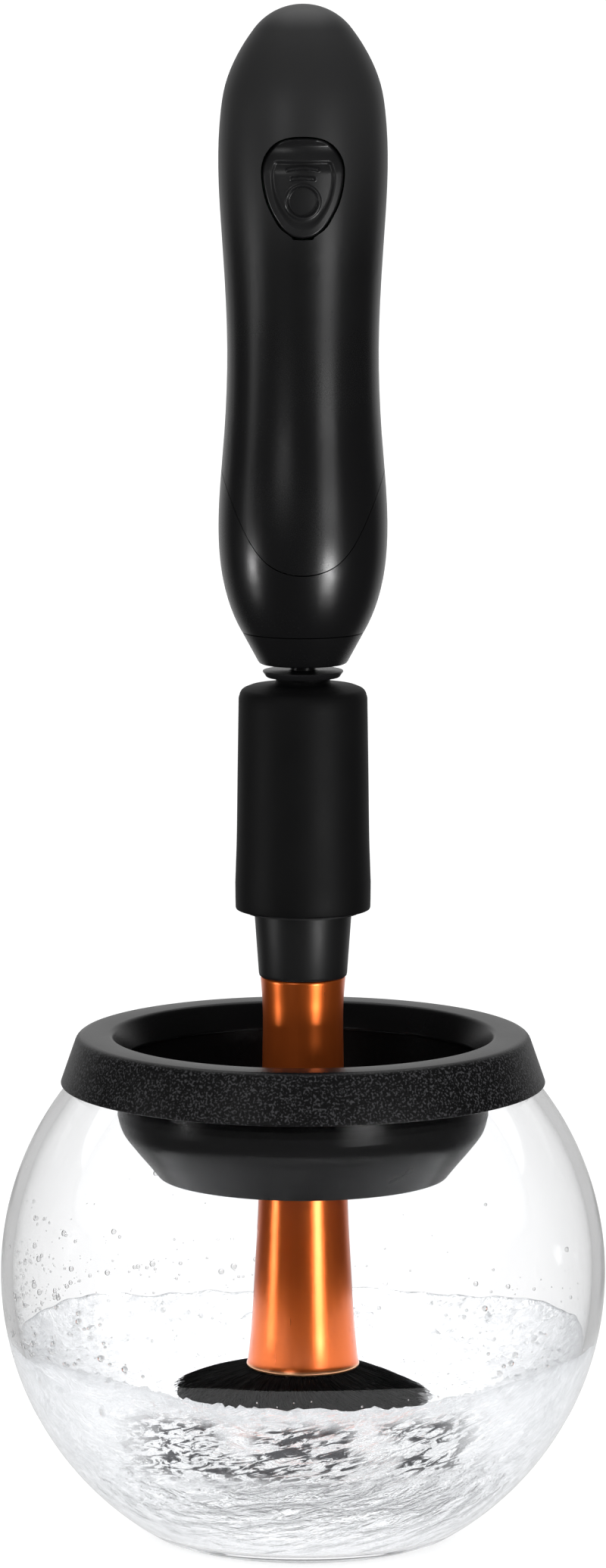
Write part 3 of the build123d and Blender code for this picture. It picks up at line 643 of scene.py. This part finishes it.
def buildFerrule():
    # drawn tube with a rolled edge, anodised copper orange
    side = throughPoints(ferruleSpec["curve"], 8)
    wall = ferruleSpec["wall"]
    bead = arc(ferruleSpec["beadAt"], ferruleSpec["bead"], -150, 40, 10)
    outside = [p for p in side if p[1] > 36.1]
    inside = [(r - wall, z) for r, z in reversed(side) if z > 35.9]
    lip = side[-1][0]
    mouth = [(lip - 0.12, 116.78), (lip - 0.35, 116.85), (lip - wall + 0.1, 116.8)]
    ferrule = smoothByAngle(lathe("brushFerrule", bead + outside + mouth + inside, 256), 50)
    finish = Finish("anodisedCopper", metal=0.9, coat=0.5, coatRough=0.16)
    spot = finish.where()
    height = finish.axes(spot)[2]
    drawn = finish.noise(finish.stretched(spot, 1.0, 1.0, 0.02), 1.6, 3.0, 0.6)
    slow = finish.noise(spot, 0.05, 2.0)
    specks = finish.noise(spot, 2.5, 2.0, 0.7).step(0.66, 0.76)
    edge = (36.2 - height).step(0.0, 0.6)
    cloud = slow * 0.6 + drawn * 0.4
    deep = finish.mix(cloud, (0.86, 0.15, 0.022, 1), (0.96, 0.21, 0.036, 1))
    tone = finish.mix(edge * 0.7, deep, (0.95, 0.62, 0.34, 1))
    finish.feed(
        colour=tone,
        rough=0.29 + (drawn - 0.5) * 0.08 + specks * 0.04,
        normal=finish.bump(drawn, 0.05, 0.02 * mm))
    return place(ferrule, finish.material, "brush", "ferrule_copper", "brush_ferrule")


buildHandle()
buildFerrule()
print("handle and ferrule ready")

tuftSpec = {
    "root": 10.2, "reach": 27.2, "rootHeight": 36.2, "strands": 2600, "sides": 4, "joints": 9,
    "thick": 0.16, "top": 35.0, "fall": 4.6, "curl": 1.3, "under": 23.2, "underRise": 5.6,
    "skirt": [(10.2, 36.4), (10.9, 34.9), (13.0, 33.9), (16.5, 32.7), (20.5, 31.2), (24.0, 29.7),
              (26.0, 28.7), (26.4, 28.2), (25.0, 26.8), (21.0, 25.0), (14.0, 23.6), (7.0, 22.8)],
    "leanRight": 0.04, "bound": 11, "loose": 12,
}


def tuftHeight(radius, share):
    # height of a bristle at a radius; share 0 is the top of the fan and 1 its underside
    spec = tuftSpec
    spread = (radius - spec["root"]) / (spec["reach"] - spec["root"])
    upper = spec["top"] - spec["fall"] * spread - spec["curl"] * spread ** 3
    lower = spec["under"] + spec["underRise"] * (radius / spec["reach"]) ** 2.4
    return upper * (1 - share) + lower * share


def tuftLoose(radius):
    # 0 where the ferrule holds the bristles together, 1 where they are free
    return min(max((radius - tuftSpec["bound"]) / tuftSpec["loose"], 0), 1)


def tuftRagged(angle):
    # slow unevenness of the fan's edge around the brush
    return noise.noise(Vector((math.cos(angle) * 3, math.sin(angle) * 3, 1.7)))


def addStrand(shape, draw):
    # one bristle: a tapering tube that the spin sweeps outwards and sideways
    spec = tuftSpec
    angle = draw.uniform(0, 2 * math.pi)
    share = draw.random() ** 2.2 * 0.9
    reach = spec["reach"] * draw.uniform(0.80, 1.0) + tuftRagged(angle) * 0.8
    start = draw.uniform(9.3, 10.1)
    sweep = draw.uniform(0.10, 0.30)
    lift = draw.uniform(0.02, 0.22)
    rings = []
    for joint in range(spec["joints"]):
        t = joint / (spec["joints"] - 1)
        radius = start + (reach - start) * t
        turned = angle + sweep * t * t
        height = tuftHeight(max(radius, spec["root"]), share * min(t * 2.2, 1)) + lift
        if t == 0:
            height = spec["rootHeight"]
        across, along = radius * math.cos(turned), radius * math.sin(turned)
        lean = spec["leanRight"] * across * tuftLoose(radius)
        middle = Vector((across, along, height - lean)) * mm
        thick = spec["thick"] * (1 - 0.75 * t) * mm
        sideways, upwards = Vector((-math.sin(turned), math.cos(turned), 0)), Vector((0, 0, 1))
        ring = []
        for side in range(spec["sides"]):
            around = 2 * math.pi * side / spec["sides"]
            out = sideways * math.cos(around) + upwards * math.sin(around)
            ring.append(shape.verts.new(middle + out * thick))
        rings.append(ring)
    for before, after in zip(rings, rings[1:]):
        for side in range(spec["sides"]):
            other = (side + 1) % spec["sides"]
            shape.faces.new((before[side], before[other], after[other], after[side]))
    shape.faces.new(rings[-1])
    shape.faces.new(list(reversed(rings[0])))


def buildTuft():
    # wet bristles: a clumped skirt under a layer of separate strands that the spin fans out
    spec = tuftSpec
    draw = random.Random(41)
    low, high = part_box("bristle_tuft")
    foot, top = low.z / mm, high.z / mm
    outline = [(0.0, top - 0.1), (spec["root"] - 0.4, top - 0.1)]
    outline += throughPoints(spec["skirt"], 4) + [(0.0, foot + 0.1)]
    core = lathe("tuftCore", outline, 240, closed=False)
    shape = bmesh.new()
    shape.from_mesh(core.data)
    bpy.data.objects.remove(core)
    for vert in shape.verts:
        radius = math.hypot(vert.co.x, vert.co.y) / mm
        if radius < spec["bound"]:
            continue
        angle = math.atan2(vert.co.y, vert.co.x)
        fade = tuftLoose(radius)
        clump = math.sin(angle * 34 + radius * 0.16) * 0.5 + math.sin(angle * 61 - radius * 0.1) * 0.3
        wide = 1 + (0.006 * clump + 0.035 * tuftRagged(angle)) * fade
        vert.co.x *= wide
        vert.co.y *= wide
        lean = spec["leanRight"] * vert.co.x / mm
        vert.co.z += (0.16 * clump - lean) * fade * mm
    for strand in range(spec["strands"]):
        addStrand(shape, draw)
    tuft = meshObject("bristleFan", shape)
    finish = Finish("wetBristles", specular=0.2)
    spot = finish.where()
    fibre = finish.noise(spot, 1.4, 3.0, 0.7)
    slow = finish.noise(spot, 0.12, 3.0)
    cloud = fibre * 0.6 + slow * 0.4
    tone = finish.mix(cloud, (0.0014, 0.0014, 0.0015, 1), (0.0058, 0.006, 0.0062, 1))
    finish.feed(
        colour=tone,
        rough=0.42 + (slow - 0.5) * 0.3,
        normal=finish.bump(fibre, 0.2, 0.1 * mm))
    return place(tuft, finish.material, "brush", "bristles", "bristle_tuft")


buildTuft()
print("bristles ready")

buttonSpec = {
    "outline": [(0, 290.1), (3.0, 289.85), (5.3, 288.95), (7.1, 287.2), (8.15, 285.1), (8.45, 282.6),
                (8.1, 279.4), (7.2, 276.2), (5.9, 273.6), (4.1, 271.15), (2.2, 269.75), (0, 269.3)],
    "gap": 0.35, "deep": 3.0, "middle": 279.7, "halfWide": 8.45, "halfTall": 10.4, "steps": 56,
    "scoop": 1.55, "dish": 0.85, "dishTop": 285.0, "ribs": ((283.8, 3.6), (281.75, 2.7)), "rib": 0.62,
    "dimple": (277.0, 3.3), "dimpleDeep": 0.75, "dimpleRim": 0.22,
    "stem": {"middle": 279.5, "radius": 1.6, "front": 12.6, "rear": 10.9},
}

# the shells' skin, as (radius, height)
handsetCurve = [
    (12.45, 188.2), (15.9, 197.0), (17.25, 210.5), (16.12, 228.0), (15.44, 247.0), (16.42, 268.0),
    (17.2, 284.5), (16.72, 294.0), (14.75, 302.8), (12.74, 306.7), (10.2, 310.64),
]


def handsetRadius(height):
    # smooth radius of the handset at a height
    points = throughPoints(handsetCurve, 12)
    for (r1, z1), (r2, z2) in zip(points, points[1:]):
        if z1 <= height <= z2:
            return r1 + (r2 - r1) * (height - z1) / (z2 - z1)
    return points[-1][0]


def ease(value, low, high):
    t = min(max((value - low) / (high - low), 0), 1)
    return t * t * (3 - 2 * t)


def buttonDepth(x, z, edge):
    # how far the face lies below the handset's skin; edge runs from 0 in the middle to 1 at the outline
    spec = buttonSpec
    scoop = spec["scoop"] * ease(z, 282.4, 287.6) * (1 - ease(z, 287.9, 289.9) * 0.9)
    dishTop = spec["dishTop"]
    inner = ease(1.0 - edge, 0.17, 0.30) * (1 - ease(z, dishTop - 0.5, dishTop + 0.3))
    ribs = 0.0
    for height, half in spec["ribs"]:
        bow = height - 0.035 * x * x
        across = 1 - ease(abs(x), half - 0.7, half)
        ribs += spec["rib"] * across * (1 - ease(abs(z - bow), 0.16, 0.5))
    dimpleZ, dimpleR = spec["dimple"]
    far = math.hypot(x, z - dimpleZ)
    dimple = spec["dimpleDeep"] * (1 - ease(far, dimpleR - 0.55, dimpleR))
    dimple -= spec["dimpleRim"] * (1 - ease(abs(far - dimpleR), 0.1, 0.5))
    softEdge = 0.45 * ease(edge, 0.955, 1.0) ** 2
    return scoop + spec["dish"] * inner - ribs + dimple + softEdge


def buildButton():
    # rubber face laid as a height field on the handset's skin, with a flat back and a stem
    spec = buttonSpec
    half = throughPoints(spec["outline"], 10)
    loop = half + [(-x, z) for x, z in reversed(half[1:-1])]
    wide = 1 - spec["gap"] / spec["halfWide"]
    tall = 1 - spec["gap"] / spec["halfTall"]
    middle = spec["middle"]
    shape = bmesh.new()

    def addPoint(x, z, share, below):
        # one point of the button, at a share of the way from its middle to its edge
        px = x * wide * share
        pz = middle + (z - middle) * tall * share
        y = -math.sqrt(handsetRadius(pz) ** 2 - px ** 2) + below(px, pz, share)
        return shape.verts.new((px * mm, y * mm, pz * mm))

    def faceBelow(px, pz, share):
        return buttonDepth(px, pz, share) + 0.05

    def backBelow(px, pz, share):
        return spec["deep"]

    centre = addPoint(0.0, middle, 0.0, faceBelow)
    rows = []
    for step in range(1, spec["steps"] + 1):
        rows.append([addPoint(x, z, step / spec["steps"], faceBelow) for x, z in loop])
    back = [addPoint(x, z, 1.0, backBelow) for x, z in loop]
    rows.append(back)
    count = len(loop)
    for turn in range(count):
        after = (turn + 1) % count
        shape.faces.new((centre, rows[0][turn], rows[0][after]))
    for inner, outer in zip(rows, rows[1:]):
        for turn in range(count):
            after = (turn + 1) % count
            shape.faces.new((inner[turn], outer[turn], outer[after], inner[after]))
    shape.faces.new(list(reversed(back)))
    stem = spec["stem"]
    stemLoop = arc((0, stem["middle"]), stem["radius"], 0, 345, 23)
    front = [shape.verts.new((x * mm, -stem["front"] * mm, z * mm)) for x, z in stemLoop]
    rear = [shape.verts.new((x * mm, -stem["rear"] * mm, z * mm)) for x, z in stemLoop]
    for turn in range(len(stemLoop)):
        after = (turn + 1) % len(stemLoop)
        shape.faces.new((front[turn], rear[turn], rear[after], front[after]))
    shape.faces.new(rear)
    shape.faces.new(list(reversed(front)))
    bmesh.ops.recalc_face_normals(shape, faces=shape.faces)
    button = smoothByAngle(meshObject("powerButton", shape), 50)
    black = (0.006, 0.006, 0.0064)
    material = mouldedPlastic("buttonRubber", black, 0.34, 2.5, 0.12, specular=0.6)
    return place(button, material, "power_button", "button_rubber", "power_button")


buildButton()
print("button ready")

waterSpec = {
    "overlap": 0.06, "middle": 24.6, "front": 39.4, "sideLift": 3.2, "wave": 2.4, "ripple": 0.8,
    # glow: strength of the water's faint painted light, a glow it has though it is no lamp
    "whirl": 1.9, "chop": 2.2, "turns": 320, "wallSteps": 40, "surfaceSteps": 56, "glow": 0.13,
    # the next entries: slant of the swirls, then where the dark painted refraction of the bristles lies:
    # its heights, side reach and nearness
    "slant": 0.26, "paintedRefractionLow": (19.0, 25.0), "paintedRefractionHigh": (34.0, 38.0), "paintedRefractionSide": (26.0, 40.0),
    "paintedRefractionNear": (-32.0, -18.0),
}


def waterLine(angle):
    # height of the water on the wall; the spin and the splashes lift it at the sides
    sideways = math.cos(angle) ** 2
    wave = noise.noise(Vector((math.cos(angle) * 2.2, math.sin(angle) * 2.2, 5.3)))
    ripple = noise.noise(Vector((math.cos(angle) * 9, math.sin(angle) * 9, 2.1)))
    spec = waterSpec
    return spec["front"] + spec["sideLift"] * sideways + spec["wave"] * wave + spec["ripple"] * ripple


def waterSurface(radius, angle, wall):
    # height inside the whirl
    spec = waterSpec
    share = min(radius / wall, 1)
    swirl = angle + share * 2.4
    place = Vector((radius * 0.16 * math.cos(swirl), radius * 0.16 * math.sin(swirl), 0.4))
    rough = noise.fractal(place, 0.6, 2.2, 5)
    fade = ease(radius, 4, 26) * (1 - 0.75 * ease(radius, wall - 4, wall))
    rise = (waterLine(angle) - spec["middle"]) * share ** spec["whirl"]
    return spec["middle"] + rise + spec["chop"] * rough * fade


def buildWater():
    # disturbed water that touches the bowl all round
    spec = waterSpec
    radius, centre, inner, rim = bowlCurve()
    body = inner + spec["overlap"]
    floor = bowlSpec["floor"] - spec["overlap"]
    shape = bmesh.new()
    bottom = shape.verts.new((0, 0, floor * mm))
    edgeAngle = -math.asin((centre - bowlSpec["floor"] - 0.3) / body)
    columns = []
    middle = shape.verts.new((0, 0, waterSpec["middle"] * mm))
    for turn in range(spec["turns"]):
        angle = 2 * math.pi * turn / spec["turns"]
        line = waterLine(angle)
        topAngle = math.asin((line - centre) / body)
        column = [((body * math.cos(edgeAngle)) - 3.0, floor)]
        for step in range(spec["wallSteps"] + 1):
            lift = edgeAngle + (topAngle - edgeAngle) * step / spec["wallSteps"]
            column.append((body * math.cos(lift), centre + body * math.sin(lift)))
        wall = column[-1][0]
        for step in range(1, spec["surfaceSteps"]):
            share = 1 - step / spec["surfaceSteps"]
            reach = wall * share
            height = waterSurface(reach, angle, wall)
            if step == 1:
                height = (height + line) / 2
            column.append((reach, height))
        across, along = math.cos(angle), math.sin(angle)
        columns.append([shape.verts.new((r * across * mm, r * along * mm, z * mm)) for r, z in column])
    for turn in range(spec["turns"]):
        here = columns[turn]
        after = columns[(turn + 1) % spec["turns"]]
        shape.faces.new((bottom, after[0], here[0]))
        for low in range(len(here) - 1):
            shape.faces.new((here[low], after[low], after[low + 1], here[low + 1]))
        shape.faces.new((middle, here[-1], after[-1]))
    bmesh.ops.recalc_face_normals(shape, faces=shape.faces)
    water = meshObject("water", shape)
    # the water has a faint painted glow of its own, which stands in for light; it is dark where the
    # painted refraction lies
    finish = Finish("stirredWater", clear=1.0, ior=1.333, glowStrength=spec["glow"])
    spot = finish.where()
    turnedAbout = {"rotation_type": "Y_AXIS"}
    slant = {"Vector": spot, "Angle": spec["slant"]}
    swirled = finish.node("ShaderNodeVectorRotate", turnedAbout, slant)
    long = finish.noise(finish.stretched(swirled, 0.32, 0.6, 1.0), 0.42, 5.0, 0.62, 0.8)
    short = finish.noise(finish.stretched(swirled, 0.6, 0.8, 1.0), 1.6, 3.0, 0.6, 0.4)
    threads = finish.noise(finish.stretched(swirled, 0.2, 0.5, 1.0), 0.8, 5.0, 0.68, 0.9)
    patches = finish.noise(spot, 0.07, 2.0).step(0.30, 0.44)
    x, y, z = finish.axes(spot)
    # painted refraction: dark swirls are painted into the water's colour in front, at the bristles'
    # height, standing in for the black bristles seen through the water
    near = 1 - y.step(*spec["paintedRefractionNear"])
    band = z.step(*spec["paintedRefractionLow"]) * (1 - z.step(*spec["paintedRefractionHigh"]))
    inside = 1 - ((x * x) ** 0.5).step(*spec["paintedRefractionSide"])
    paintedRefraction = threads.step(0.485, 0.54) * patches * near * band * inside
    veil = finish.noise(finish.stretched(swirled, 0.3, 0.6, 1.0), 0.22, 4.0, 0.7)
    clouded = finish.mix(veil.step(0.42, 0.66), (0.985, 0.99, 0.995, 1), (0.85, 0.855, 0.86, 1))
    calm = z.step(6.0, 24.0) * 0.75 + 0.25
    waves = finish.bump(long * calm, 0.9, 3.2 * mm)
    finish.feed(
        colour=finish.mix(paintedRefraction, clouded, (0.02, 0.02, 0.022, 1)),
        glow=finish.mix(paintedRefraction, (0.95, 0.97, 1.0, 1), (0.0, 0.0, 0.0, 1)),
        rough=0.01 + short * 0.02,
        normal=finish.bump(short * calm, 0.55, 0.6 * mm, waves))
    return place(water, finish.material, "bowl", "clear_bowl")


def addBall(shape, centre, radius, rows=5, around=8):
    # a small ball for a bubble or a drop
    rings = []
    for row in range(1, rows):
        tilt = math.pi * row / rows
        ring = []
        for turn in range(around):
            angle = 2 * math.pi * turn / around
            out = Vector((math.sin(tilt) * math.cos(angle), math.sin(tilt) * math.sin(angle),
                          math.cos(tilt)))
            ring.append(shape.verts.new(Vector(centre) * mm + out * radius * mm))
        rings.append(ring)
    top = shape.verts.new(Vector(centre) * mm + Vector((0, 0, radius)) * mm)
    low = shape.verts.new(Vector(centre) * mm - Vector((0, 0, radius)) * mm)
    for turn in range(around):
        after = (turn + 1) % around
        shape.faces.new((top, rings[0][turn], rings[0][after]))
        shape.faces.new((low, rings[-1][after], rings[-1][turn]))
        for upper, lower in zip(rings, rings[1:]):
            shape.faces.new((upper[turn], lower[turn], lower[after], upper[after]))


bubbleSpec = {
    "bubbles": 420, "drops": 520, "leftShare": 0.72, "leftThrow": 11.0, "throw": 5.0, "highest": 84,
    "clearFront": 34,
}


def smallClear(name, ior):
    # finish of the bubbles and of the drops
    finish = Finish(name, clear=1.0, ior=ior)
    grain = finish.noise(finish.where(), 2.0, 2.0)
    return finish.feed(rough=0.01 + grain * 0.03)


def buildBubbles():
    # air bubbles in the stirred water, and drops thrown onto the wall above it
    spec = bubbleSpec
    draw = random.Random(7)
    radius, centre, inner, rim = bowlCurve()
    shape = bmesh.new()
    for count in range(spec["bubbles"]):
        angle = draw.uniform(0, 2 * math.pi)
        depth = draw.random() ** 1.6
        line = waterLine(angle)
        height = line - 1.0 - depth * 20
        wall = math.sqrt(inner ** 2 - (height - centre) ** 2)
        reach = wall - 0.9 - draw.random() ** 2 * 16
        if reach < 31 and height > 20:
            continue
        size = 0.14 + draw.random() ** 3 * 0.5
        addBall(shape, (reach * math.cos(angle), reach * math.sin(angle), height), size)
    place(meshObject("bubbles", shape), smallClear("bubbleSkin", 1.6), "bowl", "clear_bowl")
    shape = bmesh.new()
    for count in range(spec["drops"]):
        leftward = draw.random() < spec["leftShare"]
        angle = draw.gauss(math.pi, 0.75) if leftward else draw.uniform(0, 2 * math.pi)
        line = waterLine(angle)
        height = line + 0.6 + abs(draw.gauss(0, spec["leftThrow"] if leftward else spec["throw"]))
        if height > spec["highest"]:
            continue
        wall = math.sqrt(inner ** 2 - (height - centre) ** 2)
        if math.sin(angle) < -0.3 and abs(wall * math.cos(angle)) < spec["clearFront"]:
            continue
        size = 0.12 + draw.random() ** 4 * 0.62
        reach = wall - size * 0.25
        addBall(shape, (reach * math.cos(angle), reach * math.sin(angle), height), size)
    place(meshObject("thrownDrops", shape), smallClear("dropWater", 1.4), "bowl", "clear_bowl")


buildWater()
buildBubbles()
print("water ready")

# finishes of the carried-over pieces: colour, roughness, grain scale, grain depth and constants
keptFinishes = {
    "tray_plastic": ((0.05, 0.05, 0.053), 0.5, 1.2, 0.2, {}),
    "cell_jacket": ((0.50, 0.36, 0.09), 0.28, 0.8, 0.05, {"coat": 0.6, "coatRough": 0.12}),
    "contact_metal": ((0.72, 0.70, 0.66), 0.27, 1.4, 0.12, {"metal": 1.0}),
    "board": ((0.02, 0.12, 0.045), 0.32, 1.0, 0.15, {"coat": 0.5, "coatRough": 0.2}),
    "switch_plastic": ((0.07, 0.07, 0.075), 0.45, 1.5, 0.15, {}),
    "motor_steel": ((0.60, 0.60, 0.61), 0.3, 1.0, 0.12, {"metal": 1.0}),
    "motor_plastic": ((0.62, 0.61, 0.56), 0.5, 1.2, 0.15, {}),
    "bush_brass": ((0.70, 0.50, 0.22), 0.35, 1.6, 0.2, {"metal": 1.0}),
    "magnet": ((0.05, 0.05, 0.052), 0.7, 2.0, 0.4, {}),
    "seal_rubber": ((0.015, 0.015, 0.016), 0.7, 1.5, 0.3, {}),
    "screw_steel": ((0.58, 0.58, 0.60), 0.26, 1.8, 0.1, {"metal": 1.0}),
    "lead_red": ((0.42, 0.015, 0.015), 0.45, 1.5, 0.1, {}),
    "lead_black": ((0.015, 0.015, 0.016), 0.45, 1.5, 0.1, {}),
    "copper_wire": ((0.72, 0.33, 0.14), 0.3, 1.2, 0.5, {"metal": 1.0, "coat": 0.5}),
    "collar_rubber": ((0.009, 0.009, 0.0095), 0.62, 1.6, 0.3, {"specular": 0.4}),
    "core_glue": ((0.42, 0.36, 0.26), 0.45, 1.0, 0.3, {}),
}


def finishKept():
    made = {}
    for key, (colour, rough, grain, depth, constants) in keptFinishes.items():
        made[key] = mouldedPlastic(key, colour, rough, grain, depth, **constants)
    made["handset_soft_black"] = handsetBlack("handsetBlack")
    for name, obj in nodes.items():
        for piece in obj.material_slots:
            key = piece.material.name.split(".")[0]
            if key in made:
                piece.material = made[key]
        obj.data.shade_smooth()


finishKept()
print("carried-over pieces ready")
